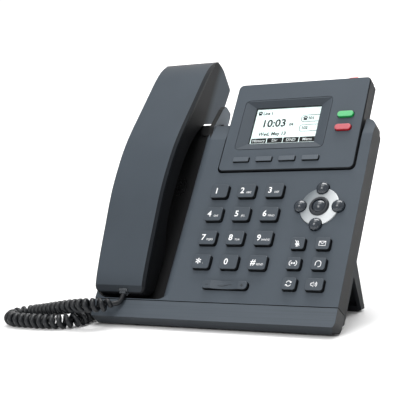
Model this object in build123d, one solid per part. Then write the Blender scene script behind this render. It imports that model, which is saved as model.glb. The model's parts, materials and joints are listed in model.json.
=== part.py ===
from build123d import *
import math
import os

# Desk telephone with a handset, a raised display module, a key field and a rear stand. Millimetres.
# The face plane leans back by LEAN. Most pieces are drawn flat: x across, y up the face, z out of
# the face. slab() tilts them into place; desk() takes pieces drawn upright, z = 0 on the desk.
LEAN = 52.0
FLOOR = 6.0
SHIFT_X = 1.15
SHIFT_Y = -85.55

HALF_W = 101.5
FACE_LOW = 2.5
FACE_TOP = 174.0
BEVEL_START = FACE_TOP - 14.8
EDGE_DEPTH = 13.0
REAR_DEPTH = 25.0
REAR_HALF = HALF_W - 4.0
WALL = 2.5
CORNER_R = 8.0
STRIP_TOP = 17.0
SEAM_HALF = 0.3

RECESS_RIGHT = -34.5
RECESS_LOW = 18.0
RECESS_TOP = FACE_TOP + 6.0
RECESS_DEPTH = 10.0
RECESS_R = 12.0

MOD_L, MOD_R = -21.5, 92.0
MOD_LOW, MOD_TOP = 128.5, 210.0
MOD_FRONT = 1.5
MOD_BACK = -12.6
LCD_X, LCD_Y = 26.35, 170.95
LCD_W, LCD_H = 56.2, 33.3
WELL_Y, WELL_W, WELL_H = 170.5, 73.5, 44.4

KEY_TOP = 3.4
KEY_GAP = 0.35
DIGIT_W, DIGIT_H = 14.7, 11.5
DIGIT_COLS = (-13.8, 9.6, 33.1)
DIGIT_ROWS = (109.5, 89.4, 69.1, 49.0)
FUNC_W, FUNC_H = 11.0, 9.4
WIDE_KEY, WIDE_W = "speaker_key", 13.8
FUNC_COLS = (61.9, 81.4)
FUNC_ROWS = (65.1, 49.0, 32.9)
SOFT_W, SOFT_H = 13.6, 4.0
SOFT_COLS = (-2.55, 17.15, 36.65, 56.15)
SOFT_ROW = 138.0
NAV_X, NAV_Y = 71.5, 96.6
NAV_R = 15.3
NAV_ORBIT = 15.0
BEAD_R = 4.8
OK_R = 5.1
COLLAR_R = 7.8

HS_X = -78.3
HS_LOW, HS_TOP = 21.2, 243.7
JACK_X = -74.5
JACK_N = 2.2

STAND_HALF = 91.5
STAND_T = 3.0

COIL_D = 11.5
LEAD_D = 4.0

nodes = {}


def slab(shape):
    return Pos(SHIFT_X, SHIFT_Y, FLOOR) * Rot(LEAN, 0, 0) * shape


def desk(shape):
    return Pos(SHIFT_X, SHIFT_Y, 0) * shape


def slab_point(x, y, z):
    c, s = math.cos(math.radians(LEAN)), math.sin(math.radians(LEAN))
    return (x, y * c - z * s, y * s + z * c + FLOOR)


def block(x0, x1, y0, y1, z0, z1):
    return Pos((x0 + x1) / 2, (y0 + y1) / 2, (z0 + z1) / 2) * Box(x1 - x0, y1 - y0, z1 - z0)


def plate(x0, x1, y0, y1, z0, z1, r):
    sketch = Pos((x0 + x1) / 2, (y0 + y1) / 2, z0) * RectangleRounded(x1 - x0, y1 - y0, r)
    return extrude(sketch, amount=z1 - z0)


def disc(x, y, z0, z1, r):
    return Pos(x, y, (z0 + z1) / 2) * Cylinder(r, z1 - z0)


def side_plane(x):
    return Plane(origin=(x, 0, 0), x_dir=(0, 1, 0), z_dir=(1, 0, 0))


def prism_x(points, x0, x1):
    outline = make_face(side_plane(x0) * Polyline(*points, close=True))
    return extrude(outline, amount=x1 - x0, dir=(1, 0, 0))


def save(node, *shapes):
    parts = [s for shape in shapes for s in shape.solids()]
    nodes[node] = parts[0] if len(parts) == 1 else Compound(children=parts)


# ---- body outline -------------------------------------------------------------------------------
def body_block(inset, low_inset):
    profile = [(FACE_LOW + low_inset, -inset), (low_inset, -7.2), (3 + low_inset, -EDGE_DEPTH),
               (FACE_TOP - inset, -EDGE_DEPTH), (FACE_TOP - inset, -3 - inset), (BEVEL_START, -inset)]
    outline = plate(-HALF_W + inset, HALF_W - inset, low_inset - 1, FACE_TOP - inset, -EDGE_DEPTH, 1,
                    CORNER_R - inset)
    return prism_x(profile, -HALF_W, HALF_W) & outline


def recess_cutter(grow):
    right, low = RECESS_RIGHT + grow, RECESS_LOW - grow
    cutter = plate(-HALF_W - 1.1 - grow, right, low, 260, -RECESS_DEPTH - grow, 5, RECESS_R + grow)
    roll = Pos(right, 0, -RECESS_DEPTH - grow) * extrude(Plane.XZ * Circle(RECESS_DEPTH + grow), amount=-262)
    bank = block(right - RECESS_DEPTH - grow, right + 1, low - 1, 261, -RECESS_DEPTH - grow - 1, 0)
    return cutter - (bank & roll)


HORN_X, HORN_W = -39.0, 4.2

# The deck under the handset runs a little past the top edge and carries the side horn of the cradle.
DECK_LOW = FACE_TOP - 0.2
deck = block(-HALF_W, RECESS_RIGHT, DECK_LOW, RECESS_TOP, -20, -RECESS_DEPTH)
deck = deck + block(-HALF_W, RECESS_RIGHT, FACE_TOP - WALL, RECESS_TOP, -EDGE_DEPTH, -RECESS_DEPTH)
deck = deck - block(-HALF_W + WALL, -46.5, DECK_LOW - 1, RECESS_TOP - WALL, -21, -RECESS_DEPTH - WALL)
HORN_PROFILE = [(-10, -12.9), (-10, -1.5), (-2, -0.9), (19, -7.2), (23.3, -9.6), (24, -12), (23, -19.5), (20, -20.6),
                (-0.2, -20.6), (-0.2, -12.9)]
horn = prism_x([(FACE_TOP + v, n) for v, n in HORN_PROFILE], HORN_X - HORN_W / 2, HORN_X + HORN_W / 2)
horn = fillet(horn.edges().filter_by(Axis.X).group_by(Axis.Y)[-1], 0.8)
hump = disc(-49, RECESS_TOP - 6, -12, -8.8, 5)
hump = fillet(hump.edges().group_by(Axis.Z)[-1], 1.0)

shell = body_block(0, 0) - body_block(WALL, WALL) - recess_cutter(0)
tray = (body_block(0, 0) & recess_cutter(WALL)) - recess_cutter(0)
shell = shell + tray
shell = shell + (deck - recess_cutter(0)) + horn + hump
module_well = plate(MOD_L - 1, MOD_R + 1, MOD_LOW - 1, MOD_TOP + 30, -30, 5, 4.5)
shell = shell - module_well - block(RECESS_RIGHT + 0.6, HALF_W, FACE_TOP, 260, -30, 5)

# ---- openings in the face -----------------------------------------------------------------------
digit_names = [["key_1", "key_2", "key_3"], ["key_4", "key_5", "key_6"],
               ["key_7", "key_8", "key_9"], ["key_star", "key_0", "key_hash"]]
func_names = [["mute_key", "message_key"], ["transfer_key", "headset_key"], ["redial_key", "speaker_key"]]
key_plan = []
for row, names in zip(DIGIT_ROWS, digit_names):
    for col, name in zip(DIGIT_COLS, names):
        key_plan.append((name, col, row, DIGIT_W, DIGIT_H, 2.0))
for row, names in zip(FUNC_ROWS, func_names):
    for col, name in zip(FUNC_COLS, names):
        key_plan.append((name, col, row, WIDE_W if name == WIDE_KEY else FUNC_W, FUNC_H, 1.8))

for name, kx, ky, kw, kh, kr in key_plan:
    hw, hh = kw / 2 + KEY_GAP, kh / 2 + KEY_GAP
    shell = shell - plate(kx - hw, kx + hw, ky - hh, ky + hh, -3, 1, kr + KEY_GAP)
ROCK_X, ROCK_Y, ROCK_W, ROCK_H = 10.25, 30.75, 37.5, 6.5
ROCK_TOP = 2.8
ROCK_DIP, DIP_R = 1.1, 60.0
shell = shell - plate(ROCK_X - ROCK_W / 2 - 0.6, ROCK_X + ROCK_W / 2 + 0.6, ROCK_Y - ROCK_H / 2 - 0.4,
                      ROCK_Y + ROCK_H / 2 + 0.4, -3, 1, 3.2)
shell = shell - disc(NAV_X, NAV_Y, -1.0, 1, NAV_R + 0.25)
bead_spots = {"nav_right_key": 0, "nav_up_key": 90, "nav_left_key": 180, "nav_down_key": 270}
for name, turn in bead_spots.items():
    bx = NAV_X + NAV_ORBIT * math.cos(math.radians(turn))
    by = NAV_Y + NAV_ORBIT * math.sin(math.radians(turn))
    shell = shell - disc(bx, by, -3, 1, BEAD_R + KEY_GAP)
shell = shell - disc(NAV_X, NAV_Y, -3, 1, OK_R + KEY_GAP)

# Speaker grille, a ring pattern of small holes through the deck beside the handset.
GRILLE_X, GRILLE_Y = -61.0, 121.5
for ring_r, count in ((0, 1), (2.6, 6), (5.2, 12), (7.8, 18)):
    for i in range(count):
        gx = GRILLE_X + ring_r * math.cos(2 * math.pi * i / count)
        gy = GRILLE_Y + ring_r * math.sin(2 * math.pi * i / count)
        shell = shell - disc(gx, gy, -14, -9, 0.6)
HOOK_X, HOOK_Y = -78.3, 152.0
TAB_X, TAB_Y = -78.3, 168.0
shell = shell - plate(HOOK_X - 4.4, HOOK_X + 4.4, HOOK_Y - 6.4, HOOK_Y + 6.4, -14, -9, 2)
shell = shell - plate(TAB_X - 6.3, TAB_X + 6.3, TAB_Y - 4.3, TAB_Y + 4.3, -11.2, -9, 1)

strip_cut = block(-HALF_W - 9, HALF_W + 9, -20, STRIP_TOP, -30, 10)
gap_cut = block(-HALF_W - 9, HALF_W + 9, STRIP_TOP - SEAM_HALF, STRIP_TOP + SEAM_HALF, -30, 10)
save("upper_housing", slab(shell - strip_cut - gap_cut))
save("chin_strip", slab((shell & strip_cut) - gap_cut))

# ---- rear shell ---------------------------------------------------------------------------------
def rear_block(inset):
    profile = [(5 + inset, -EDGE_DEPTH - 0.1), (15 + inset * 1.4, -REAR_DEPTH + inset),
               (FACE_TOP - 4 - inset, -REAR_DEPTH + inset), (FACE_TOP - 0.5 - inset, -EDGE_DEPTH - 0.1)]
    return prism_x(profile, -REAR_HALF + inset, REAR_HALF - inset)


rear = rear_block(0) - rear_block(WALL)
rear = rear + block(MOD_L + 4, MOD_R - 4, MOD_LOW + 2, FACE_TOP - 3, -EDGE_DEPTH - 2.1, -EDGE_DEPTH - 0.1)
rear = fillet(rear.edges().filter_by(Axis.X).group_by(Axis.Z)[0], 1.5)
PORT_Y = 100.0
RJ45_XS = (-28.0, -8.0)
HS_PORT_X, HEADSET_X = -78.0, -56.0
DC_X = 14.0
DC_R = 4.0
for px in RJ45_XS:
    rear = rear - block(px - 8, px + 8, PORT_Y - 7, PORT_Y + 7, -REAR_DEPTH - 5, -20)
for px in (HS_PORT_X, HEADSET_X):
    rear = rear - block(px - 5.6, px + 5.6, PORT_Y - 5.2, PORT_Y + 5.2, -REAR_DEPTH - 5, -20)
rear = rear - disc(DC_X, PORT_Y, -REAR_DEPTH - 5, -20, 6.0)
for vx in range(-3, 4):
    rear = rear - plate(vx * 8 + 48, vx * 8 + 51, 134, 160, -REAR_DEPTH - 5, -20, 1.4)
SCREW_X, SCREW_ROWS = HALF_W - 13.5, (30, FACE_TOP - 16)
SCREWS = [(side * SCREW_X, row) for row in SCREW_ROWS for side in (-1, 1)]
for sx, sy in SCREWS:
    rear = rear - disc(sx, sy, -REAR_DEPTH - 5, 2 - REAR_DEPTH, 3.4) - disc(sx, sy, -REAR_DEPTH - 5, -20, 1.7)
    rear = rear + (disc(sx, sy, 2.5 - REAR_DEPTH, -14, 3.4) - disc(sx, sy, -REAR_DEPTH - 5, -10, 1.4))
HOLD_Y, HOLD_XS = 80.0, (-60, 60)
FEET_XS = (-70, 70)
for hx in HOLD_XS:
    rear = rear - block(hx - 8, hx + 8, HOLD_Y - 2.0, HOLD_Y + 2.0, -REAR_DEPTH - 5, -20)
for fx in FEET_XS:
    rear = rear - (Rot(-LEAN, 0, 0) * block(fx - 10.2, fx + 10.2, 16.8, 25.2, -5, -2.9))
save("lower_housing", slab(rear))


def screw(x, y):
    seat = 1.9 - REAR_DEPTH
    head = disc(x, y, seat - 1.5, seat, 3.1)
    cross = block(x - 1.8, x + 1.8, y - 0.4, y + 0.4, seat - 2, seat - 0.9)
    cross = cross + block(x - 0.4, x + 0.4, y - 1.8, y + 1.8, seat - 2, seat - 0.9)
    return head + disc(x, y, seat - 0.1, -15.6, 1.3) - cross


save("housing_screws", *[slab(screw(x, y)) for x, y in SCREWS])

feet = [desk(block(fx - 10, fx + 10, 17, 25, 0, FLOOR - 3.0)) for fx in FEET_XS]
feet = [fillet(f.edges().filter_by(Axis.Z), 1.5) for f in feet]


# ---- sockets ------------------------------------------------------------------------------------
def socket(x, y, w, h, cav_w, cav_h, depth, face, notch_w):
    body = block(x - w / 2, x + w / 2, y - h / 2, y + h / 2, face, face + depth + 1.5)
    cavity = block(x - cav_w / 2, x + cav_w / 2, y - cav_h / 2, y + cav_h / 2, face - 1, face + depth)
    notch = block(x - notch_w / 2, x + notch_w / 2, y - cav_h / 2 - 1.4, y, face - 1, face + depth - 2)
    return body - cavity - notch


network = [slab(socket(px, PORT_Y, 15.6, 13.6, 11.9, 8.4, 9.0, -REAR_DEPTH + 0.4, 6.0)) for px in RJ45_XS]
save("network_jacks", *network)
cord_ports = [slab(socket(px, PORT_Y, 10.8, 10.0, 7.9, 6.9, 9.0, -REAR_DEPTH + 0.4, 3.4))
              for px in (HS_PORT_X, HEADSET_X)]
save("cord_jacks", *cord_ports)
DC_FACE = 0.4 - REAR_DEPTH
dc = disc(DC_X, PORT_Y, DC_FACE, DC_FACE + 10.1, 5.7) - disc(DC_X, PORT_Y, DC_FACE - 1, DC_FACE + 8.6, DC_R)
dc = dc + disc(DC_X, PORT_Y, DC_FACE + 1.1, DC_FACE + 9.1, 1.0)
save("power_jack", slab(dc))

# ---- boards and inner pieces --------------------------------------------------------------------
board = plate(-30, 96, 24, 125, -10.6, -9.0, 3)
for hx, hy in ((-26, 28), (92, 28), (-26, 121), (92, 121)):
    board = board - disc(hx, hy, -12, -8, 1.6)
save("main_board", slab(board))
mat = plate(-24, 92, 26, 120, -7.6, -6.4, 3)
for name, kx, ky, kw, kh, kr in key_plan:
    mat = mat + disc(kx, ky, -6.5, -5.8, 2.6)
save("keypad_mat", slab(mat))
speaker = disc(GRILLE_X, GRILLE_Y, -15.6, -12.7, 9.6) + disc(GRILLE_X, GRILLE_Y, -19.6, -15.5, 6.5)
save("loudspeaker", slab(speaker))


# ---- keys ---------------------------------------------------------------------------------------
def rect_key(x, y, w, h, r, top, skirt, low):
    cap = plate(x - w / 2, x + w / 2, y - h / 2, y + h / 2, low, top, r)
    cap = fillet(cap.edges().group_by(Axis.Z)[-1], 0.5)
    ledge = plate(x - w / 2 - 0.9, x + w / 2 + 0.9, y - h / 2 - 0.9, y + h / 2 + 0.9, low, skirt, r + 0.9)
    return cap + ledge


def round_key(x, y, r, top, rise, low):
    ball_r = (r * r + rise * rise) / (2 * rise)
    dome = Pos(x, y, top - ball_r) * Sphere(ball_r) & disc(x, y, top - rise, top + 1, r)
    return dome + disc(x, y, low, top - rise + 0.01, r) + disc(x, y, low, -3.1, r + 0.9)


for name, kx, ky, kw, kh, kr in key_plan:
    save(name, slab(rect_key(kx, ky, kw, kh, kr, KEY_TOP, -2.9, -4.4)))
for i, sx in enumerate(SOFT_COLS):
    save("soft_key_%d" % (i + 1), slab(rect_key(sx, SOFT_ROW, SOFT_W, SOFT_H, 0.8, 3.0, -1.0, -2.4)))
LINE_X, LINE_W, LINE_H = 77.5, 13.0, 5.0
LINE_ROWS = {"line_key_1": 175.7, "line_key_2": 164.0}
for name, ly in LINE_ROWS.items():
    save(name, slab(rect_key(LINE_X, ly, LINE_W, LINE_H, 2.4, 3.5, -1.0, -2.4)))
for name, turn in bead_spots.items():
    bx = NAV_X + NAV_ORBIT * math.cos(math.radians(turn))
    by = NAV_Y + NAV_ORBIT * math.sin(math.radians(turn))
    save(name, slab(round_key(bx, by, BEAD_R, 4.6, 2.4, -4.4)))
save("ok_key", slab(round_key(NAV_X, NAV_Y, OK_R, 4.0, 2.2, -4.4)))

ring = disc(NAV_X, NAV_Y, -1.0, 1.0, NAV_R)
ring = fillet(ring.edges().group_by(Axis.Z)[-1], 0.5)
collar = disc(NAV_X, NAV_Y, 0.5, 2.4, COLLAR_R)
collar = chamfer(collar.edges().group_by(Axis.Z)[-1], 1.0)
hole = disc(NAV_X, NAV_Y, -3, 6, OK_R + KEY_GAP)
for name, turn in bead_spots.items():
    bx = NAV_X + NAV_ORBIT * math.cos(math.radians(turn))
    by = NAV_Y + NAV_ORBIT * math.sin(math.radians(turn))
    ring = ring - disc(bx, by, -3, 6, BEAD_R + KEY_GAP)
save("nav_ring", slab(ring - disc(NAV_X, NAV_Y, -3, 6, COLLAR_R + 0.02)))
collar = disc(NAV_X, NAV_Y, -1.0, 0.6, COLLAR_R) + collar
save("nav_collar", slab(collar - hole))

rocker = plate(ROCK_X - ROCK_W / 2, ROCK_X + ROCK_W / 2, ROCK_Y - ROCK_H / 2, ROCK_Y + ROCK_H / 2, -3.4,
               ROCK_TOP, 2.8)
rocker = fillet(rocker.edges().group_by(Axis.Z)[-1], 0.5)
dip = Pos(ROCK_X, ROCK_Y, ROCK_TOP - ROCK_DIP + DIP_R) * Rot(90, 0, 0) * Cylinder(DIP_R, 2 * ROCK_H)
rocker = rocker - dip
rocker = rocker + block(ROCK_X - 5, ROCK_X + 5, ROCK_Y - 4.4, ROCK_Y + 4.4, -5.2, -3.3)
save("volume_rocker", slab(rocker))

# ---- display module -----------------------------------------------------------------------------
bezel = plate(MOD_L, MOD_R, MOD_LOW, MOD_TOP, -6.0, MOD_FRONT, 4.0)
bezel = chamfer(bezel.edges().group_by(Axis.Z)[-1], 0.7)
bezel = bezel - plate(MOD_L + 2, MOD_R - 2, MOD_LOW + 2, MOD_TOP - 2, -7, -0.9, 2.5)
well_low = Pos(LCD_X, LCD_Y, -1.0) * Rectangle(LCD_W, LCD_H)
floor_pad = plate(LCD_X - WELL_W / 2 - 1.3, LCD_X + WELL_W / 2 + 1.3, WELL_Y - WELL_H / 2 - 1.8,
                  WELL_Y + WELL_H / 2 + 2.3, -3.0, -0.5, 2)
bezel = bezel + floor_pad
well_top = Pos(LCD_X, WELL_Y, MOD_FRONT + 0.001) * Rectangle(WELL_W, WELL_H)
well = loft([well_low, well_top])
groove = plate(LCD_X - WELL_W / 2 - 1.1, LCD_X + WELL_W / 2 + 1.1, WELL_Y - WELL_H / 2 - 1.1, WELL_Y + WELL_H / 2 + 1.1,
               MOD_FRONT - 0.35, MOD_FRONT + 1, 4)
groove = groove - plate(LCD_X - WELL_W / 2 - 0.6, LCD_X + WELL_W / 2 + 0.6, WELL_Y - WELL_H / 2 - 0.6,
                        WELL_Y + WELL_H / 2 + 0.6, MOD_FRONT - 1, MOD_FRONT + 2, 3.5)
bezel = bezel - groove
bezel = bezel - well - block(LCD_X - LCD_W / 2, LCD_X + LCD_W / 2, LCD_Y - LCD_H / 2, LCD_Y + LCD_H / 2, -9, 0)
for sx in SOFT_COLS:
    bezel = bezel - plate(sx - SOFT_W / 2 - KEY_GAP, sx + SOFT_W / 2 + KEY_GAP, SOFT_ROW - SOFT_H / 2 - KEY_GAP,
                          SOFT_ROW + SOFT_H / 2 + KEY_GAP, -9, 9, 1.15)
for ly in LINE_ROWS.values():
    bezel = bezel - plate(LINE_X - LINE_W / 2 - KEY_GAP, LINE_X + LINE_W / 2 + KEY_GAP, ly - LINE_H / 2 - KEY_GAP,
                          ly + LINE_H / 2 + KEY_GAP, -9, 9, 2.75)
LIGHT_X, LIGHT_RISE = 76.85, 0.9
bezel = bezel - block(LIGHT_X - 3.6, LIGHT_X + 3.6, MOD_TOP - 3, MOD_TOP + 1, -4.1, 0.55)
save("display_bezel", slab(bezel))
save("message_light", slab(block(LIGHT_X - 3.4, LIGHT_X + 3.4, MOD_TOP - 2.9, MOD_TOP + LIGHT_RISE, -3.9, 0.4)))
save("screen_lens", slab(block(LCD_X - LCD_W / 2 - 2, LCD_X + LCD_W / 2 + 2, LCD_Y - LCD_H / 2 - 2,
                               LCD_Y + LCD_H / 2 + 2, -4.0, -3.0)))
save("lcd_panel", slab(block(LCD_X - LCD_W / 2 - 4, LCD_X + LCD_W / 2 + 4, LCD_Y - LCD_H / 2 - 4,
                             LCD_Y + LCD_H / 2 + 4, -5.9, -4.0)))
back = plate(MOD_L + 0.4, MOD_R - 0.4, MOD_LOW + 0.4, MOD_TOP - 0.4, MOD_BACK, -6.2, 3.8)
back = fillet(back.edges().group_by(Axis.Z)[0], 1.5)
back = back - plate(MOD_L + 2.6, MOD_R - 2.6, MOD_LOW + 2.6, MOD_TOP - 2.6, MOD_BACK + 2, -5, 2)
save("display_back", slab(back))

# ---- cradle pieces ------------------------------------------------------------------------------
hook = plate(HOOK_X - 4, HOOK_X + 4, HOOK_Y - 6, HOOK_Y + 6, -14.4, -6.6, 1.6)
hook = fillet(hook.edges().group_by(Axis.Z)[-1], 1.2)
hook = hook + plate(HOOK_X - 5.2, HOOK_X + 5.2, HOOK_Y - 7.2, HOOK_Y + 7.2, -17.6, -16.2, 1.6)
hook = hook + plate(HOOK_X - 4, HOOK_X + 4, HOOK_Y - 6, HOOK_Y + 6, -16.5, -14, 1.6)
save("hook_switch", slab(hook))
tab = plate(TAB_X - 6, TAB_X + 6, TAB_Y - 4, TAB_Y + 4, -11.1, -9.6, 1)
tab = tab + plate(TAB_X - 4, TAB_X + 4, TAB_Y - 1.2, TAB_Y + 1.2, -9.7, -6.6, 0.8)
save("cradle_tab", slab(tab))

# ---- handset ------------------------------------------------------------------------------------
CROWN = [(HS_LOW, 4.8), (29, 7.8), (38, 9.9), (60, 13.8), (80, 17.0), (100, 20.0), (120, 21.0), (140, 20.6),
         (160, 18.0), (185, 13.0), (211, 8.0), (230, 2.6), (HS_TOP, -8.9)]
BELLY = [(66, -6.4), (74, -2.0), (86, 1.8), (104, 4.0), (124, 4.4), (144, 3.0), (160, -0.4), (170, -4.0)]


def handset_block(d, side):
    crown = [(v, n - d) for v, n in CROWN]
    crown[0] = (HS_LOW + d, CROWN[0][1] - d * 0.7)
    crown[-1] = (HS_TOP - d, CROWN[-1][1] - d * 0.4)
    belly = [(v, n + d) for v, n in BELLY]
    top = Spline(*crown)
    nose = Polyline(crown[-1], (232 - d * 1.2, -34.4 + d), (214 + d, -33 + d),
                    (204 + d, -31.5 + d), (190 + d, -23 + d), (182.5 + d, -11 + d), (178 + d, -8.2 + d), belly[-1])
    under = Spline(*reversed(belly))
    chin = Polyline(belly[0], (60 - d, -8.6 + d), (29 + d, -8.6 + d), (HS_LOW + d, -4.4 + d / 2),
                    crown[0])
    face = make_face(side_plane(HS_X - 30) * Wire([*top.edges(), *nose.edges(), *under.edges(), *chin.edges()]))
    body = extrude(face, amount=60, dir=(1, 0, 0))
    w0, w1, w2 = 22.8 - side, 24.8 - side, 25.5 - side
    low, high = HS_LOW + side, HS_TOP + 0.4 - side
    right = ThreePointArc((w0, low), (w1, 120), (w2, high))
    left = ThreePointArc((-w2, high), (-w1, 120), (-w0, low))
    plan = make_face(Wire([*right.edges(), *Line((w2, high), (-w2, high)).edges(), *left.edges(),
                           *Line((-w0, low), (w0, low)).edges()]))
    plan = fillet(plan.vertices(), 5.0 - side)
    return body & (Pos(HS_X, 0, -45) * extrude(plan, amount=90))


SEAM = [(10, 0.0), (29, 4.0), (38, 6.0), (60, 10.0), (80, 13.2), (100, 16.2), (120, 17.2), (140, 16.8),
        (160, 14.2), (185, 9.2), (211, 4.2), (230, -0.2), (252, -12)]


def above_seam(drop):
    line = Spline(*[(v, n - drop) for v, n in SEAM])
    lid = Polyline((252, -12 - drop), (252, 40), (10, 40), (10, -drop))
    face = make_face(side_plane(HS_X - 35) * Wire([*line.edges(), *lid.edges()]))
    return extrude(face, amount=70, dir=(1, 0, 0))


full = handset_block(0, 0)
crown_face = full.faces().sort_by(Axis.Z)[-1]
full = chamfer(crown_face.edges(), 2.0)
full = full - prism_x([(HS_LOW - 1, 2.4), (HS_LOW + 6, 7.9), (HS_LOW + 6, 20), (HS_LOW - 1, 20)],
                      HS_X - 30, HS_X + 30)
inset = handset_block(0, 0.35)
ear_edges = [e for e in inset.edges().filter_by(GeomType.LINE) if abs(e.center().X - HS_X) < 1 and e.center().Z < -20]
inset = fillet(ear_edges, 1.8)
cavity = handset_block(2.2, 2.4)
outer = full & above_seam(0)
outer = outer - cavity
inner = (inset - above_seam(0.25)) - cavity
jack_hole = block(JACK_X - 4.2, JACK_X + 4.2, HS_LOW - 5, HS_LOW + 9, JACK_N - 3.6, JACK_N + 3.15)
outer = outer - jack_hole
inner = inner - jack_hole
EAR_X, EAR_Y = HS_X, 220.0
for ring_r, count in ((0, 1), (3.2, 6), (6.4, 12)):
    for i in range(count):
        ex = EAR_X + ring_r * math.cos(2 * math.pi * i / count)
        ey = EAR_Y + ring_r * math.sin(2 * math.pi * i / count)
        inner = inner - disc(ex, ey, -38, -29, 0.8)
MIC_X, MIC_Y = HS_X, 42.0
for ring_r, count in ((0, 1), (2.6, 6)):
    for i in range(count):
        mx = MIC_X + ring_r * math.cos(2 * math.pi * i / count)
        my = MIC_Y + ring_r * math.sin(2 * math.pi * i / count)
        inner = inner - disc(mx, my, -12, -5, 0.7)
save("handset_outer_shell", slab(outer))
save("handset_inner_shell", slab(inner))
save("handset_receiver", slab(disc(EAR_X, 219.5, -29.0, -25.0, 10.0) + disc(EAR_X, 219.5, -25.1, -22.0, 6.5)))
HS_JACK_LOW = HS_LOW + 2.6
jack_body = block(JACK_X - 5.2, JACK_X + 5.2, HS_JACK_LOW, HS_JACK_LOW + 13, JACK_N - 4.6, JACK_N + 3.8)
jack_body = jack_body & handset_block(2.3, 2.5)
jack_cav = block(JACK_X - 4.1, JACK_X + 4.1, HS_JACK_LOW - 1, HS_JACK_LOW + 11.2, JACK_N - 3.5, JACK_N + 3.05)
save("handset_jack", slab(jack_body - jack_cav))


def modular_plug():
    body = block(-3.8, 3.8, 0, 12.4, -2.9, 2.9)
    body = body - block(-2.8, 2.8, 8.5, 12.5, 2.0, 3.0)
    collar_piece = block(-2.6, 2.6, -1.8, 0.01, -2.3, 2.3)
    latch = block(-1.5, 1.5, 1.0, 11.0, -3.3, -2.85)
    return body + collar_piece + latch


plug_low = HS_LOW + 0.6
save("handset_plug", slab(Pos(JACK_X, plug_low, JACK_N) * modular_plug()))
base_plug = Pos(HS_PORT_X, PORT_Y, -REAR_DEPTH - 3.6) * Rot(90, 0, 0) * modular_plug()
save("base_plug", slab(base_plug))

# ---- stand --------------------------------------------------------------------------------------
# Drawn upright: y back from the body's low edge, z up from the desk.
sheet_low_y, sheet_low_z = 80.6, 1.8
sheet_top_y, sheet_top_z = 68.6, 51.3
lean_len = math.hypot(sheet_low_y - sheet_top_y, sheet_top_z - sheet_low_z)
ny, nz = (sheet_top_z - sheet_low_z) / lean_len, (sheet_low_y - sheet_top_y) / lean_len
panel = prism_x([(sheet_low_y, sheet_low_z), (sheet_low_y + STAND_T * ny, sheet_low_z + STAND_T * nz),
                 (sheet_top_y + STAND_T * ny, sheet_top_z - 1.5 + STAND_T * nz), (sheet_top_y, sheet_top_z - 1.5)],
                -STAND_HALF, STAND_HALF)
foot = prism_x([(77.2, 1.4), (83.6, 1.4), (83.4, 4.6), (79.5, 6.5), (76.4, 4.6)], -STAND_HALF, STAND_HALF)
ribs = []
for side in (-STAND_HALF, STAND_HALF - STAND_T, -32, 29):
    ribs.append(prism_x([(77.4, 1.4), (82.0, 3.0), (70.5, 49.0), (67.8, 48.0), (62.5, 39.0), (66.6, 29.7)],
                        side, side + STAND_T))
stand = panel + foot + ribs[0] + ribs[1] + ribs[2] + ribs[3]
stand = stand - (Rot(LEAN, 0, 0) * block(-120, 120, 0, 200, -REAR_DEPTH - 0.15, 40)).moved(Pos(0, 0, FLOOR))
hooks = []
for hx in HOLD_XS:
    hooks.append((Rot(LEAN, 0, 0) * block(hx - 7, hx + 7, HOLD_Y - 1.4, HOLD_Y + 1.4, -REAR_DEPTH - 6, -22.7)).moved(
        Pos(0, 0, FLOOR)))
stand = stand + hooks[0] + hooks[1]
window = prism_x([(60, 14), (90, 14), (84, 38), (56, 38)], -24, 24)
save("stand", desk(stand - window))
pads = []
for sx in (-80, 80):
    pads.append(desk(fillet(block(sx - 9, sx + 9, 77.8, 83.0, 0, 1.4).edges().filter_by(Axis.Z), 1.5)))
save("rubber_feet", *feet, *pads)


# ---- curly cord ---------------------------------------------------------------------------------
def vec(a, b):
    return [b[i] - a[i] for i in range(3)]


def cord_tube(label, route, d):
    runs = [vec(a, b) for a, b in zip(route, route[1:])]
    lens = [math.sqrt(sum(c * c for c in r)) for r in runs]
    radii = []
    for r0, r1, l0, l1 in zip(runs, runs[1:], lens, lens[1:]):
        turn = math.acos(sum(a * b for a, b in zip(r0, r1)) / (l0 * l1))
        radii.append(0.45 * min(l0, l1) / math.tan(turn / 2))
    path = FilletPolyline(*route, radius=radii)
    start = Plane(origin=route[0], z_dir=runs[0])
    tube = sweep(start * Circle(d / 2), path=path)
    want = math.pi * d * d / 4 * path.length
    print(label, "length", round(path.length, 1), "runs", [round(v, 1) for v in lens])
    print(label, "radii", [round(r, 1) for r in radii], "volume ratio", round(tube.volume / want, 4))
    return tube


def toward(a, b, run):
    step = vec(a, b)
    size = math.sqrt(sum(c * c for c in step))
    return tuple(a[i] + run * step[i] / size for i in range(3))


LEAD_TAIL = slab_point(JACK_X, plug_low - 1.8, JACK_N)
LEAD_BEND = slab_point(JACK_X, plug_low - 9.0, JACK_N)
COIL_ENTRY = (-86.7, -5.6, 18.2)
COIL_ROUTE = [toward(COIL_ENTRY, LEAD_BEND, 9.8), COIL_ENTRY, (-97.0, -8.2, 18.2), (-111.0, -5.8, 16.5),
              (-125.6, -3.5, 13.9), (-139.0, 0.2, 11.2), (-151.5, 4.2, 8.6), (-161.0, 8.0, 7.0),
              (-168.6, 5.3, 6.1), (-172.6, -1.6, 5.8), (-171.2, -9.5, 5.8), (-165.1, -14.6, 5.8),
              (-152.0, -15.4, 5.8), (-137.0, -15.6, 5.8), (-124.0, -14.6, 5.8), (-114.0, -11.6, 5.8),
              (-107.9, -4.6, 5.8), (-108.4, 9.0, 5.8), (-108.0, 26.0, 5.8)]
LEAD_ROUTE = [LEAD_TAIL, LEAD_BEND, COIL_ROUTE[0]]
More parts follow.
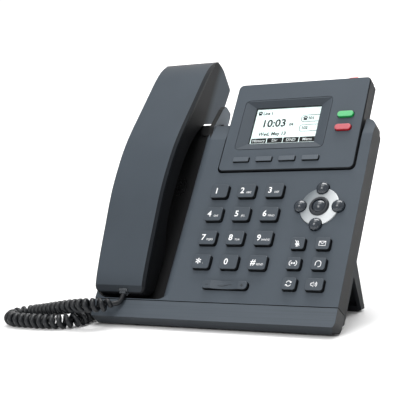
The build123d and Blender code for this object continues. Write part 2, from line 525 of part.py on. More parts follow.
BASE_ROUTE = [COIL_ROUTE[-1], toward(COIL_ROUTE[-1], COIL_ROUTE[-2], -9.0), (-107.9, 53.0, 2.3),
              (-110.0, 76.0, 2.3), (-112.0, 97.0, 3.4), (-103.0, 110.0, 14.0), (-88.0, 113.0, 30.0),
              slab_point(HS_PORT_X, PORT_Y, -REAR_DEPTH - 29.4), slab_point(HS_PORT_X, PORT_Y, -REAR_DEPTH - 5.4)]
save("curly_cord", desk(cord_tube("coil", COIL_ROUTE, COIL_D)))
save("cord_lead_handset", desk(cord_tube("handset lead", LEAD_ROUTE, LEAD_D)))
save("cord_lead_base", desk(cord_tube("base lead", BASE_ROUTE, LEAD_D)))

os.makedirs("parts", exist_ok=True)
for node, shape in nodes.items():
    export_step(shape, "parts/%s.step" % node)
    print(node, len(shape.solids()), round(shape.volume, 1))
box = Compound(children=[s for k, n in nodes.items() if not k.startswith("cord_lead") and k != "curly_cord"
                         for s in n.solids()]).bounding_box()
print("box without cord", box.min, box.max)
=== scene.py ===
import json
import math

import bpy
from mathutils import Matrix, Vector


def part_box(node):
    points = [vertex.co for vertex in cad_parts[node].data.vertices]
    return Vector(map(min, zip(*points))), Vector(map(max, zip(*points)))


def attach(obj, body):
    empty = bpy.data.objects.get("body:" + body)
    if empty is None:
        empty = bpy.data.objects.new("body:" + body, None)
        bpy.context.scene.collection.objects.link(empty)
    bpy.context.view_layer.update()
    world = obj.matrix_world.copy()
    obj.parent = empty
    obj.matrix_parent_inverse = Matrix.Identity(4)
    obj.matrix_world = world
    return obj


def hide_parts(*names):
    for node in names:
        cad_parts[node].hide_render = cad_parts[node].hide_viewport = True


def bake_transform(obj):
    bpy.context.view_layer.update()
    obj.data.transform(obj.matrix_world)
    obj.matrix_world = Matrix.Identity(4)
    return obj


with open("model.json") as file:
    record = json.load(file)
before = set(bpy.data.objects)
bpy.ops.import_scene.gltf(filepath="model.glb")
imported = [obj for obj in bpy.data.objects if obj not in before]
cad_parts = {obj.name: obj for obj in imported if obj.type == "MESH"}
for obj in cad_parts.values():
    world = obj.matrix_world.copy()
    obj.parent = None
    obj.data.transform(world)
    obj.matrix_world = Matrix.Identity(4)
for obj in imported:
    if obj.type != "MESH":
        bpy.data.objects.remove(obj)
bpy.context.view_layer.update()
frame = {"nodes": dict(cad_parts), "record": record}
joints = {joint["name"]: joint for joint in frame["record"]["behaviour"]["joints"]}

# ---- the tilted face ------------------------------------------------------------------------------
# The face leans back. x runs across it, y up it and z out of it, in millimetres. The handset's lift
# gives its lean, and the volume key's pivot, which is at PIVOT_XYZ on the face, gives its place.
OUT = Vector(joints["handset_lift"]["axis"]).normalized()
ACROSS = Vector((1, 0, 0))
UP = OUT.cross(ACROSS)
PIVOT = Vector(joints["volume_rocker_tilt"]["pos_m"])
PIVOT_XYZ = Vector((10.25, 30.75, -4.2))
MM = 0.001


def on_face(x, y, z):
    d = (Vector((x, y, z)) - PIVOT_XYZ) * MM
    return PIVOT + ACROSS * d.x + UP * d.y + OUT * d.z


def face_matrix(x, y, z, turn=0.0):
    basis = Matrix((ACROSS, UP, OUT)).transposed().to_4x4()
    return Matrix.Translation(on_face(x, y, z)) @ basis @ Matrix.Rotation(turn, 4, "Z")


# Desk coordinates: millimetres from the phone's low front edge, x from the body's middle, z up.
DESK = on_face(0, 0, 0)


def on_desk(x, y, z):
    return Vector((DESK.x + x * MM, DESK.y + y * MM, z * MM))


# ---- materials --------------------------------------------------------------------------------------
def linear(r, g, b):
    """A colour given as 0 to 255 on a screen, as Blender's shaders want it."""
    def channel(c):
        c = c / 255
        return c / 12.92 if c <= 0.04045 else ((c + 0.055) / 1.055) ** 2.4
    return (channel(r), channel(g), channel(b), 1.0)


def shaded(color, factor):
    return (color[0] * factor, color[1] * factor, color[2] * factor, 1.0)


class Surface:
    """A node material: a Principled shader with colour, roughness and bump laid on it."""

    def __init__(self, name):
        self.material = bpy.data.materials.new(name)
        self.material.use_nodes = True
        self.tree = self.material.node_tree
        self.shader = self.tree.nodes["Principled BSDF"]
        self.coords = self.tree.nodes.new("ShaderNodeTexCoord")

    def node(self, kind, **values):
        made = self.tree.nodes.new(kind)
        for key, value in values.items():
            if hasattr(made, key):
                setattr(made, key, value)
            else:
                made.inputs[key.replace("_", " ")].default_value = value
        return made

    def link(self, source, target):
        self.tree.links.new(source, target)

    def noise(self, scale, detail=3.0):
        made = self.node("ShaderNodeTexNoise", Scale=scale, Detail=detail)
        self.link(self.coords.outputs["Object"], made.inputs["Vector"])
        return made.outputs["Fac"]

    def ramp(self, source, low, high, at=(0.3, 0.7)):
        made = self.tree.nodes.new("ShaderNodeValToRGB")
        made.color_ramp.elements[0].position, made.color_ramp.elements[1].position = at
        made.color_ramp.elements[0].color = low
        made.color_ramp.elements[1].color = high
        self.link(source, made.inputs["Fac"])
        return made.outputs["Color"]

    def mix(self, factor, a, b):
        made = self.tree.nodes.new("ShaderNodeMix")
        made.data_type = "RGBA"
        self.link(factor, made.inputs[0])
        for socket, value in ((made.inputs[6], a), (made.inputs[7], b)):
            if isinstance(value, tuple):
                socket.default_value = value
            else:
                self.link(value, socket)
        return made.outputs[2]

    def facing(self, axis, low, high):
        """0 where the surface turns from axis by more than acos(low), 1 within acos(high)."""
        dot = self.tree.nodes.new("ShaderNodeVectorMath")
        dot.operation = "DOT_PRODUCT"
        dot.inputs[1].default_value = axis
        self.link(self.coords.outputs["Normal"], dot.inputs[0])
        made = self.node("ShaderNodeMapRange")
        made.inputs["From Min"].default_value = low
        made.inputs["From Max"].default_value = high
        self.link(dot.outputs["Value"], made.inputs["Value"])
        return made.outputs["Result"]

    def depth(self, low, high):
        """0 at low face millimetres and deeper, 1 at high and above, for a piece that rides on the base."""
        dot = self.tree.nodes.new("ShaderNodeVectorMath")
        dot.operation = "DOT_PRODUCT"
        dot.inputs[1].default_value = OUT
        self.link(self.coords.outputs["Object"], dot.inputs[0])
        made = self.node("ShaderNodeMapRange")
        made.interpolation_type = "SMOOTHSTEP"
        made.inputs["From Min"].default_value = on_face(0, 0, low).dot(OUT)
        made.inputs["From Max"].default_value = on_face(0, 0, high).dot(OUT)
        self.link(dot.outputs["Value"], made.inputs["Value"])
        return made.outputs["Result"]

    def bump(self, height, strength, distance, edge=0.0):
        made = self.node("ShaderNodeBump", Strength=strength, Distance=distance)
        self.link(height, made.inputs["Height"])
        if edge:
            rounded = self.node("ShaderNodeBevel", samples=4, Radius=edge)
            self.link(rounded.outputs["Normal"], made.inputs["Normal"])
        self.link(made.outputs["Normal"], self.shader.inputs["Normal"])

    def finish(self, color, roughness, **sockets):
        target = self.shader.inputs["Base Color"]
        if isinstance(color, tuple):
            target.default_value = color
        else:
            self.link(color, target)
        self.shader.inputs["Roughness"].default_value = roughness
        for key, value in sockets.items():
            self.shader.inputs[key.replace("_", " ")].default_value = value
        return self.material


def moulded(name, color, roughness=0.55, grain=900.0, depth=0.25, spread=0.08, edge=0.0004, specular=0.22,
            wall=None, turned=(0.1, 0.85), sunk=None):
    """Moulded plastic with a fine grain.

    wall is painted shade where the surface turns away from the front, and sunk a tone painted by depth
    below the face: painted shade where it lies deep, or a painted lit tone on a piece whose deep part
    catches the light."""
    s = Surface(name)
    broad = s.ramp(s.noise(35.0), shaded(color, 1 - spread), shaded(color, 1 + spread))
    fine = s.ramp(s.noise(grain * 2.2, 2.0), shaded(color, 0.93), shaded(color, 1.07))
    s.bump(s.noise(grain * 3), depth, 0.00006, edge)
    tint = s.node("ShaderNodeMix", data_type="RGBA")
    tint.inputs[0].default_value = 0.5
    s.link(broad, tint.inputs[6])
    s.link(fine, tint.inputs[7])
    tone = tint.outputs[2]
    # Painted shade on surfaces turned away from the front.
    if wall:
        tone = s.mix(s.facing(OUT, *turned), wall, tone)
    # A tone painted by depth: painted shade, or a painted lit tone.
    if sunk:
        tone = s.mix(s.depth(*sunk[1:]), sunk[0], tone)
    return s.finish(tone, roughness, Specular_IOR_Level=specular)


def key_plastic(name, top, wall, roughness=0.42):
    s = Surface(name)
    speck = s.ramp(s.noise(1500.0), shaded(top, 0.95), shaded(top, 1.05))
    s.bump(s.noise(3200.0), 0.12, 0.00004, 0.0003)
    return s.finish(s.mix(s.facing(OUT, 0.25, 0.75), wall, speck), roughness, Specular_IOR_Level=0.4)


def brushed_strip(name, color, wall):
    s = Surface(name)
    streaks = s.node("ShaderNodeMapping")
    streaks.inputs["Scale"].default_value = (12.0, 1400.0, 1400.0)
    s.link(s.coords.outputs["Object"], streaks.inputs["Vector"])
    lines = s.node("ShaderNodeTexNoise", Scale=1.0, Detail=3.0)
    s.link(streaks.outputs["Vector"], lines.inputs["Vector"])
    s.bump(lines.outputs["Fac"], 0.25, 0.00008, 0.0004)
    tone = s.ramp(lines.outputs["Fac"], shaded(color, 0.90), shaded(color, 1.10))
    # Painted shade on the strip's walls turned away from the front.
    return s.finish(s.mix(s.facing(OUT, 0.1, 0.85), wall, tone), 0.5, Specular_IOR_Level=0.35)


def satin_metal(name, color):
    s = Surface(name)
    tone = s.ramp(s.noise(160.0), shaded(color, 0.92), shaded(color, 1.05))
    s.bump(s.noise(5200.0), 0.18, 0.00004, 0.0003)
    return s.finish(tone, 0.38, Metallic=0.55)


def shaded_ring_metal(name):
    """Satin silver, with painted shade towards the upper left of the ring and a painted highlight towards
    the lower right.
    """
    s = Surface(name)
    along_face = s.tree.nodes.new("ShaderNodeVectorMath")
    along_face.operation = "DOT_PRODUCT"
    slope = (ACROSS - UP * 0.6).normalized()
    along_face.inputs[1].default_value = slope
    s.link(s.coords.outputs["Object"], along_face.inputs[0])
    spread = s.node("ShaderNodeMapRange")
    spread.inputs["From Min"].default_value = on_face(60.0, 103.5, 0).dot(slope)
    spread.inputs["From Max"].default_value = on_face(82.0, 90.0, 0).dot(slope)
    s.link(along_face.outputs["Value"], spread.inputs["Value"])
    # Painted shade at the upper left, painted highlight at the lower right.
    tone = s.ramp(spread.outputs["Result"], linear(105, 113, 118), linear(214, 218, 220), at=(0.0, 0.85))
    s.bump(s.noise(5200.0), 0.15, 0.00004, 0.0003)
    return s.finish(tone, 0.38, Metallic=0.25)


# A glowing surface: the display's own backlight, or a painted glow on white print.
def glowing(name, color, glow):
    s = Surface(name)
    tone = s.ramp(s.noise(60.0), shaded(color, 0.98), shaded(color, 1.02))
    s.link(tone, s.shader.inputs["Emission Color"])
    s.shader.inputs["Emission Strength"].default_value = glow
    return s.finish(tone, 0.45)


def clear(name, color, roughness=0.05, solid=0.0):
    s = Surface(name)
    s.bump(s.noise(240.0), 0.02, 0.00002)
    return s.finish(color, roughness, Transmission_Weight=1.0 - solid, IOR=1.45)


def tinted_key(name, top, wall):
    s = Surface(name)
    speck = s.ramp(s.noise(700.0), shaded(top, 0.95), shaded(top, 1.05))
    s.bump(s.noise(2600.0), 0.1, 0.00004, 0.0004)
    tone = s.mix(s.facing(OUT, 0.45, 0.85), wall, speck)
    return s.finish(tone, 0.35, Subsurface_Weight=0.08)


def jacket(name, color):
    s = Surface(name)
    tone = s.ramp(s.noise(300.0), shaded(color, 0.88), shaded(color, 1.12))
    s.bump(s.noise(2400.0), 0.15, 0.00005)
    return s.finish(tone, 0.42, Specular_IOR_Level=0.45)


FACE_GREY = linear(74, 82, 90)
HANDSET_GREY = linear(67, 75, 83)
# The next two tones are painted shade: the dark of walls turned away from the front, and of the deepest
# part of the cradle recess.
SHADE = linear(15, 18, 22)
DEEP_SHADE = linear(10, 11, 13)
BLACK = linear(12, 13, 15)
materials = {
    # Face, module and chin strip get painted shade on their walls. The face is also painted darker down in
    # the cradle recess, as painted shade.
    "face": moulded("face", FACE_GREY, wall=SHADE, sunk=(DEEP_SHADE, -8.5, -0.3)),
    "module": moulded("module", FACE_GREY, wall=SHADE, turned=(0.72, 1.0)),
    "strip": brushed_strip("strip", FACE_GREY, SHADE),
    # The handset shell gets painted shade on its sides and ends. This darkens the crown away from its
    # middle, where it faces straight out, in place of the falloff of its sheen.
    "handset": moulded("handset", HANDSET_GREY, roughness=0.48, wall=linear(16, 19, 23),
                       turned=(0.66, 1.0)),
    # The handset's inner shell is a near-black painted shadow close to the face, and a painted lit grey
    # where the ear block reaches deep.
    "handset_inner": moulded("handset_inner", linear(14, 16, 19), roughness=0.6,
                             sunk=(linear(62, 70, 78), -17.0, -7.0)),
    # Painted shade in black on the horn and the deck behind it, and a painted lit grey on the horn's right
    # side.
    "horn": moulded("horn", BLACK, roughness=0.5),
    "horn_side": moulded("horn_side", linear(104, 112, 120), roughness=0.6),
    # The rear parts (back housing, display back, stand, hook switch, cradle tab) are painted dark, as
    # painted shade for sides and hollows that lie in shadow.
    "rear": moulded("rear", linear(24, 27, 31), roughness=0.6, grain=600.0, depth=0.4),
    "key": key_plastic("key", linear(64, 72, 80), linear(7, 8, 9)),
    "soft_key": key_plastic("soft_key", linear(82, 90, 98), linear(7, 8, 9)),
    "bead": moulded("bead", linear(46, 53, 61), roughness=0.22, depth=0.06, specular=0.7),
    "collar": moulded("collar", linear(34, 39, 45), roughness=0.35, depth=0.06, specular=0.5),
    "green": tinted_key("green", linear(92, 190, 125), linear(25, 160, 80)),
    "red": tinted_key("red", linear(196, 92, 102), linear(180, 18, 34)),
    "ring": shaded_ring_metal("ring"),
    "light": tinted_key("light", linear(225, 30, 45), linear(205, 20, 35)),
    "lens": clear("lens", (1.0, 1.0, 1.0, 1.0)),
    "lcd": glowing("lcd", linear(236, 244, 243), 0.42),
    "ink": moulded("ink", BLACK, roughness=0.6, depth=0.02),
    # The white key print gets a faint painted glow.
    "legend": glowing("legend", linear(245, 246, 247), 0.1),
    "faint": glowing("faint", linear(30, 34, 38), 0.0),
    "screw": satin_metal("screw", linear(150, 150, 152)),
    "rubber": jacket("rubber", linear(26, 27, 29)),
    "socket": moulded("socket", BLACK, roughness=0.45),
    "board": moulded("board", linear(20, 80, 50), roughness=0.4),
    "mat": moulded("mat", linear(150, 152, 152), roughness=0.7),
    "plug": clear("plug", linear(120, 126, 132), 0.15, 0.35),
    "cord": jacket("cord", linear(19, 22, 26)),
}


def paint(material, *names):
    for name in names:
        mesh = frame["nodes"][name].data
        mesh.materials.clear()
        mesh.materials.append(materials[material])


HORN_RIGHT = -36.9
HORN_LOW = 160.0
HORN_SIDE_LOW = 170.0
HORN_EDGE = 0.2


def paint_horn():
    """The horn of the cradle and the deck behind it are painted black as painted shade, apart from the
    horn's right side, which gets a painted lit grey lighter than the face.
    """
    housing = frame["nodes"]["upper_housing"]
    mesh = housing.data
    turn = housing.matrix_world
    mesh.materials.append(materials["horn"])
    mesh.materials.append(materials["horn_side"])
    for polygon in mesh.polygons:
        d = (turn @ polygon.center - PIVOT) / MM
        x, y = PIVOT_XYZ.x + d.dot(ACROSS), PIVOT_XYZ.y + d.dot(UP)
        if x < HORN_RIGHT + HORN_EDGE and y > HORN_LOW:
            aside = (turn.to_3x3() @ polygon.normal).x > 0.9 and x > HORN_RIGHT - HORN_EDGE
            polygon.material_index = 2 if aside and y > HORN_SIDE_LOW else 1


DIGITS = ["key_%d" % n for n in range(10)] + ["key_star", "key_hash"]
FUNCTIONS = ["mute_key", "message_key", "transfer_key", "headset_key", "redial_key", "speaker_key"]
ARROWS = ["nav_up_key", "nav_right_key", "nav_down_key", "nav_left_key"]
paint("face", "upper_housing")
paint_horn()
paint("module", "display_bezel")
paint("strip", "chin_strip")
paint("rear", "lower_housing", "display_back", "stand", "hook_switch", "cradle_tab")
paint("handset", "handset_outer_shell")
paint("handset_inner", "handset_inner_shell")
paint("key", "volume_rocker", *DIGITS, *FUNCTIONS)
paint("soft_key", *["soft_key_%d" % n for n in range(1, 5)])
paint("bead", "ok_key", *ARROWS)
paint("collar", "nav_collar")
paint("green", "line_key_1")
paint("red", "line_key_2")
paint("ring", "nav_ring")
paint("light", "message_light")
paint("lens", "screen_lens")
paint("lcd", "lcd_panel")
paint("screw", "housing_screws")
paint("rubber", "rubber_feet")
paint("socket", "network_jacks", "cord_jacks", "power_jack", "handset_jack", "handset_receiver",
      "loudspeaker")
paint("board", "main_board")
paint("mat", "keypad_mat")
paint("plug", "base_plug", "handset_plug")


# ---- legends ---------------------------------------------------------------------------------------
def middle(node):
    """The middle of a node's box, in face millimetres."""
    low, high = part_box(node)
    d = ((Vector(low) + Vector(high)) / 2 - PIVOT) / MM
    return PIVOT_XYZ + Vector((d.dot(ACROSS), d.dot(UP), d.dot(OUT)))


INK_RISE = 0.00003


def placed(name, data):
    """A new object of that name in the scene, made from that data."""
    made = bpy.data.objects.new(name, data)
    bpy.context.collection.objects.link(made)
    return made


def lettering(name, text, x, y, z, size, body, material="legend", weight=0.0, align="CENTER"):
    """Printed words; size and weight are in millimetres."""
    curve = bpy.data.curves.new(name, "FONT")
    curve.body = text
    curve.size = size * MM
    curve.align_x = align
    curve.align_y = "CENTER"
    curve.extrude = INK_RISE
    curve.offset = weight * MM
    curve.resolution_u = 3
    words = placed(name, curve)
    words.matrix_world = face_matrix(x, y, z)
    curve.materials.append(materials[material])
    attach(words, body)


def strokes(name, lines, x, y, z, body, width=0.55, material="legend"):
    """Thin raised lines, each a list of points in millimetres round (x, y)."""
    curve = bpy.data.curves.new(name, "CURVE")
    curve.dimensions = "3D"
    curve.bevel_depth = width / 2 * MM
    curve.bevel_resolution = 1
    for points in lines:
        spline = curve.splines.new("POLY")
        spline.points.add(len(points) - 1)
        for point, (px, py) in zip(spline.points, points):
            point.co = (px * MM, py * MM, 0, 1)
    drawn = placed(name, curve)
    flat = Matrix.Diagonal((1, 1, 0.3, 1))
    drawn.matrix_world = face_matrix(x, y, z) @ flat
    curve.materials.append(materials[material])
    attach(drawn, body)


def arc(cx, cy, r, start, end, steps=12):
    turns = [math.radians(start + (end - start) * i / steps) for i in range(steps + 1)]
    return [(cx + r * math.cos(t), cy + r * math.sin(t)) for t in turns]


KEY_TOP = 3.4
LETTERS = {"key_2": "ABC", "key_3": "DEF", "key_4": "GHI", "key_5": "JKL", "key_6": "MNO",
           "key_7": "PQRS", "key_8": "TUV", "key_9": "WXYZ", "key_hash": "SEND"}
MARKS = {"key_star": "*", "key_hash": "#"}
for key in DIGITS:
    spot = middle(key)
    mark = MARKS.get(key, key[-1])
    shift = -3.2 if key in LETTERS else -2.2
    drop = -1.7 if key == "key_star" else 0.0
    big = 10.5 if key == "key_star" else 6.9
    lettering("digit_" + key, mark, spot.x + shift, spot.y + drop, KEY_TOP, big, key, weight=0.1)
    if key in LETTERS:
        lettering("letters_" + key, LETTERS[key], spot.x + 2.6, spot.y - 1.6, KEY_TOP, 2.3, key)
star = middle("key_star")
strokes("star_dot", [[(0, 0), (0.1, 0)]], star.x + 2.0, star.y - 1.6, KEY_TOP, "key_star",
        1.1)

microphone = [arc(0, 0.9, 0.75, 0, 180) + arc(0, -0.3, 0.75, 180, 360) + [(0.75, 0.9)],
              arc(0, -0.2, 1.5, 180, 360), [(0, -1.7), (0, -2.5)], [(-0.9, -2.5), (0.9, -2.5)],
              [(-2.0, 2.3), (2.0, -2.3)]]
envelope = [[(-2.5, 1.7), (2.5, 1.7), (2.5, -1.7), (-2.5, -1.7), (-2.5, 1.7)],
            [(-2.5, 1.7), (0, -0.3), (2.5, 1.7)]]
transfer = [arc(-0.9, 0, 2.1, 110, 250), arc(0.9, 0, 2.1, 70, -70), [(-1.5, 0), (1.5, 0)],
            [(-0.8, 0.8), (-1.6, 0), (-0.8, -0.8)], [(0.8, 0.8), (1.6, 0), (0.8, -0.8)]]
headset = [arc(0, 0.2, 2.1, -15, 195), [(-2.1, -0.3), (-2.1, -1.6)], [(2.1, -0.3), (2.1, -1.6)],
           [(2.1, -1.6), (1.2, -2.4), (0.1, -2.4)]]
redial = [arc(0, 0, 2.0, 20, 160), arc(0, 0, 2.0, 200, 340), [(1.0, 0.9), (1.9, 0.7), (2.3, 1.6)],
          [(-1.0, -0.9), (-1.9, -0.7), (-2.3, -1.6)]]
loud = [[(-2.4, 0.8), (-1.4, 0.8), (-0.2, 1.9), (-0.2, -1.9), (-1.4, -0.8), (-2.4, -0.8), (-2.4, 0.8)],
        arc(-0.3, 0, 1.5, -45, 45), arc(-0.3, 0, 2.6, -45, 45)]
for key, icon in zip(FUNCTIONS, (microphone, envelope, transfer, headset, redial, loud)):
    spot = middle(key)
    strokes("icon_" + key, icon, spot.x, spot.y, KEY_TOP, key)
rocker = middle("volume_rocker")
ROCKER_TOP = 2.8
MARK_X = 14.5
minus = [[(-1.2, 0), (1.2, 0)]]
wedge = [[(-5.5, -0.5), (-1.5, -0.9), (2.0, 0.1), (5.5, 0.9), (5.5, -0.6)]]
for mark, lines, aside, lower, width in (("minus_mark", minus, -MARK_X, 0.0, 0.5),
                                         ("plus_mark", minus + [[(0, -1.2), (0, 1.2)]], MARK_X, 0.0, 0.5),
                                         ("volume_wedge", wedge, 0.0, 0.85, 0.35)):
    strokes(mark, lines, rocker.x + aside, rocker.y, ROCKER_TOP - lower, "volume_rocker", width,
            "faint")

# ---- what the display shows ------------------------------------------------------------------------
LCD = middle("lcd_panel")
LCD_W, LCD_H = 56.2, 33.3
LCD_X, LCD_Y = LCD.x - LCD_W / 2, LCD.y - LCD_H / 2
GLASS = -3.98
PRINT = 0.012


def panel(name, x0, x1, y0, y1, z, r):
    """A thin printed patch with rounded corners, as a mesh."""
    corners = [(x1 - r, y1 - r, 0), (x0 + r, y1 - r, 90), (x0 + r, y0 + r, 180), (x1 - r, y0 + r, 270)]
    ring = [p for cx, cy, a in corners for p in arc(cx, cy, r, a, a + 90, 4)]
    top = [tuple(on_face(px, py, z + PRINT)) for px, py in ring]
    low = [tuple(on_face(px, py, z)) for px, py in ring]
    n = len(ring)
    sides = [(i, n + i, n + (i + 1) % n, (i + 1) % n) for i in range(n)]
    mesh = bpy.data.meshes.new(name)
    mesh.from_pydata(top + low, [], [tuple(range(n)), tuple(reversed(range(n, 2 * n)))] + sides)
    mesh.materials.append(materials["ink"])
    patch = placed(name, mesh)
    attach(patch, "base")


def screen(name, text, x, y, size, weight=0.12):
    """Words on the display, placed from its low left corner."""
    lettering("screen_" + name, text, LCD_X + x, LCD_Y + y, GLASS + 0.03, size, "base", "ink",
              weight, "LEFT")


def tab(name, y0, y1, text):
    right, bevel, left = LCD_X + 56.0, LCD_X + 41.5, LCD_X + 40.0
    top, low = LCD_Y + y1, LCD_Y + y0
    outline = [(right, top), (bevel, top), (left, top - 1.5), (left, low + 1.5), (bevel, low), (right, low)]
    strokes("screen_tab_" + name, [outline], 0, 0, GLASS + 0.02, "base", 0.45, "ink")
    screen("name_" + name, text, 45.5 if name == "1" else 41.5, (y0 + y1) / 2, 3.6)


def handset_icon(name, x, y):
    x0, y0 = LCD_X + x, LCD_Y + y
    panel("screen_phone_" + name, x0 - 1.5, x0 + 1.5, y0 - 1.4, y0 + 0.6, GLASS + 0.01, 0.5)
    strokes("screen_receiver_" + name, [arc(0, 0.1, 1.7, 15, 165, 8)], x0, y0, GLASS + 0.02, "base",
            0.9, "ink")


screen("line", "Line 1", 5.4, 29.6, 3.6)
handset_icon("top", 2.8, 29.6)
screen("time", "10:03", 6.2, 19.8, 9.6, weight=0.22)
screen("seconds", "04", 30.4, 18.4, 3.6)
screen("date", "Wed, May 13", 5.4, 10.2, 4.4)
handset_icon("tab", 43.3, 23.2)
tab("1", 20.4, 26.4, "101")
tab("2", 11.6, 17.6, "102")
LABEL_STEP = 13.9
LABEL_W, LABEL_H = 13.2, 4.6
for i, label in enumerate(("History", "Dir", "DND", "Menu")):
    x0 = LCD_X + 0.4 + LABEL_STEP * i
    y0 = LCD_Y + 1.9
    panel("screen_label_%d" % (i + 1), x0, x0 + LABEL_W, y0, y0 + LABEL_H, GLASS, 0.3)
    lettering("screen_word_%d" % (i + 1), label, x0 + LABEL_W / 2, y0 + LABEL_H / 2, GLASS + 0.04, 3.6,
              "base", "lcd", 0.03)

# ---- curly cord ------------------------------------------------------------------------------------
# The route, from the base plug to the handset plug. Both tails are in face millimetres, the rest in
# desk millimetres.
BASE_TAIL = [(-78.0, 100.0, -30.4), (-78.0, 100.0, -54.4)]
BASE_LEAD = [(-88.0, 113.0, 30.0), (-103.0, 110.0, 14.0), (-112.0, 97.0, 3.4), (-110.0, 76.0, 2.3),
             (-107.9, 53.0, 2.3)]
COIL = [(-108.0, 26.0, 5.8), (-108.4, 9.0, 5.8), (-107.9, -4.6, 5.8), (-114.0, -11.6, 5.8),
        (-124.0, -14.6, 5.8), (-137.0, -15.6, 5.8), (-152.0, -15.4, 5.8), (-165.1, -14.6, 5.8),
        (-171.2, -9.5, 5.8), (-172.6, -1.6, 5.8), (-168.6, 5.3, 6.1), (-161.0, 8.0, 7.0),
        (-151.5, 4.2, 8.6), (-139.0, 0.2, 11.2), (-125.6, -3.5, 13.9), (-111.0, -5.8, 16.5),
        (-97.0, -8.2, 18.2), (-86.7, -5.6, 18.2)]
HANDSET_TAIL = [(-74.5, 12.8, 2.2), (-74.5, 20.0, 2.2)]
ENTRY_RUN = 9.8
LEAVE_RUN = 9.0
CORD_D = 4.0
COIL_D = 11.5
PITCH = 5.7
TURN_POINTS = 16
END_TURNS = 1.1


def toward(a, b, run):
    """The point that many millimetres from a on the line to b."""
    return a + (b - a).normalized() * run * MM


def spline_object(name, points, resolution):
    """An object with one smooth spline that has these as its control points."""
    curve = bpy.data.curves.new(name, "CURVE")
    curve.dimensions = "3D"
    spline = curve.splines.new("NURBS")
    spline.points.add(len(points) - 1)
    for point, spot in zip(spline.points, points):
        point.co = (*spot, 1)
    spline.order_u = 3
    spline.use_endpoint_u = True
    spline.resolution_u = resolution
    return placed(name, curve)


def drawn_mesh(holder):
    """What that object draws, as a mesh of its own."""
    return bpy.data.meshes.new_from_object(holder.evaluated_get(bpy.context.evaluated_depsgraph_get()))


def line_of(holder):
    """The points along that object's spline, which has no thickness."""
    mesh = drawn_mesh(holder)
    line = [v.co.copy() for v in mesh.vertices]
    bpy.data.meshes.remove(mesh)
    return line


def nearest(line, spot):
    return min(range(len(line)), key=lambda i: (line[i] - spot).length)


def along(line, step):
    """The line again, at even steps, with the distance of each point."""
    spots, walked, at = [(line[0].copy(), 0.0)], 0.0, step
    for a, b in zip(line, line[1:]):
        size = (b - a).length
        while size and walked + size >= at:
            spots.append((a.lerp(b, (at - walked) / size), at))
            at += step
        walked += size
    return spots, walked


coil_spots = [on_desk(*spot) for spot in COIL]
handset_spots = [on_face(*spot) for spot in HANDSET_TAIL]
coil_spots.append(toward(coil_spots[-1], handset_spots[0], ENTRY_RUN))
route = [on_face(*spot) for spot in BASE_TAIL] + [on_desk(*spot) for spot in BASE_LEAD]
route += [toward(coil_spots[0], coil_spots[1], -LEAVE_RUN)] + coil_spots + handset_spots
guide = spline_object("cord_route", route, 24)
centre = line_of(guide)
bpy.data.objects.remove(guide)
first = nearest(centre, coil_spots[0])
last = nearest(centre, coil_spots[-1])
spots, coil_length = along(centre[first:last + 1], PITCH * MM / TURN_POINTS)
wire_r = CORD_D / 2 * MM
helix_r = COIL_D / 2 * MM - wire_r
side = Vector((0, 0, 1))
helix = []
for i, (spot, distance) in enumerate(spots):
    ahead = spots[min(i + 1, len(spots) - 1)][0] - spots[max(i - 1, 0)][0]
    ahead.normalize()
    side = (side - ahead * side.dot(ahead)).normalized()
    turn = 2 * math.pi * i / TURN_POINTS
    edge = min(distance, coil_length - distance) / (PITCH * MM * END_TURNS)
    reach = helix_r * min(1.0, max(0.0, edge)) ** 0.7
    helix.append(spot + (side * math.cos(turn) + ahead.cross(side) * math.sin(turn)) * reach)

cord_points = centre[:first:8] + helix + centre[last + 1::8] + [centre[-1]]
drawn = spline_object("cord_drawn", cord_points, 2)
cord_path = line_of(drawn)
drawn.data.bevel_depth = wire_r
drawn.data.bevel_resolution = 3
drawn.data.use_fill_caps = True
wire = drawn_mesh(drawn)
bpy.data.objects.remove(drawn)
wire.name = "curly_cord_wire"
wire.materials.clear()
wire.materials.append(materials["cord"])
for polygon in wire.polygons:
    polygon.use_smooth = True
cord = placed("curly_cord_wire", wire)
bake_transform(cord)
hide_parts("curly_cord", "cord_lead_handset", "cord_lead_base")

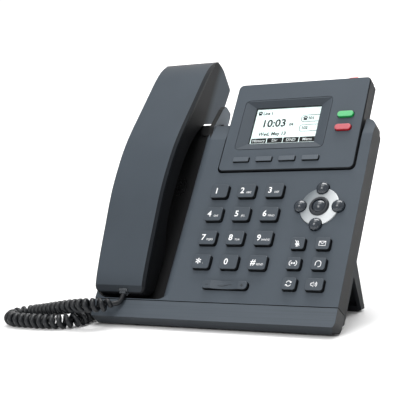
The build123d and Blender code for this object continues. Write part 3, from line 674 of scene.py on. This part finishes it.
# ---- floor, light and camera ----------------------------------------------------------------------
# The floor runs back and then sweeps up behind the phone in a quarter circle, in metres.
SWEEP_BACK = 1.2
SWEEP_R = 1.0
SWEEP = [(-3.0, 0.0), (SWEEP_BACK, 0.0)]
for step in range(1, 11):
    t = math.radians(step * 9)
    SWEEP.append((SWEEP_BACK + SWEEP_R * math.sin(t), SWEEP_R - SWEEP_R * math.cos(t)))
SWEEP.append((SWEEP_BACK + SWEEP_R, 4.0))
floor_mesh = bpy.data.meshes.new("floor")
floor_mesh.from_pydata([(x, y, z) for y, z in SWEEP for x in (-5, 5)], [],
                       [(2 * i, 2 * i + 1, 2 * i + 3, 2 * i + 2) for i in range(len(SWEEP) - 1)])
floor = placed("floor", floor_mesh)
floor_paint = Surface("floor")
floor_mesh.materials.append(floor_paint.finish((0.93, 0.93, 0.93, 1.0), 0.7, Specular_IOR_Level=0.1))

world = bpy.data.worlds.new("studio")
bpy.context.scene.world = world
world.use_nodes = True
world.node_tree.nodes["Background"].inputs["Color"].default_value = (1.0, 1.0, 1.0, 1.0)
world.node_tree.nodes["Background"].inputs["Strength"].default_value = 0.5


def softbox(name, place, target, size, watts):
    light = bpy.data.lights.new(name, "AREA")
    light.shape = "DISK"
    light.size = size
    light.energy = watts
    lamp = placed(name, light)
    lamp.location = place
    lamp.rotation_euler = (Vector(target) - Vector(place)).to_track_quat("-Z", "Y").to_euler()


softbox("top_light", (-0.1, -0.2, 1.5), (0, 0, 0.1), 0.9, 6)
softbox("front_light", (-0.3, -1.4, 1.2), (0, 0, 0.1), 0.7, 10)
softbox("sweep_light", (0.0, 0.9, 1.9), (0.0, 1.9, 0.6), 1.6, 60)

# The camera stands to the right, a little above the desk, and is turned slightly about its own axis.
CAMERA_AT = (394.0, -671.0, 188.1)
AZIMUTH, ELEVATION, ROLL = math.radians(30.05), math.radians(7.15), math.radians(-4.8)
ahead = Vector((-math.sin(AZIMUTH) * math.cos(ELEVATION), math.cos(AZIMUTH) * math.cos(ELEVATION),
                -math.sin(ELEVATION)))
level = Vector((math.cos(AZIMUTH), math.sin(AZIMUTH), 0))
upright = level.cross(ahead)
right = level * math.cos(ROLL) + upright * math.sin(ROLL)
top = upright * math.cos(ROLL) - level * math.sin(ROLL)
lens = bpy.data.cameras.new("camera")
lens.sensor_width = 36.0
lens.lens = 98.8
lens.clip_end = 20.0
camera = placed("camera", lens)
turned = Matrix((right, top, -ahead)).transposed().to_4x4()
camera.matrix_world = Matrix.Translation(DESK + Vector(CAMERA_AT) * MM) @ turned
bpy.context.scene.camera = camera
bpy.context.scene.view_settings.view_transform = "Standard"
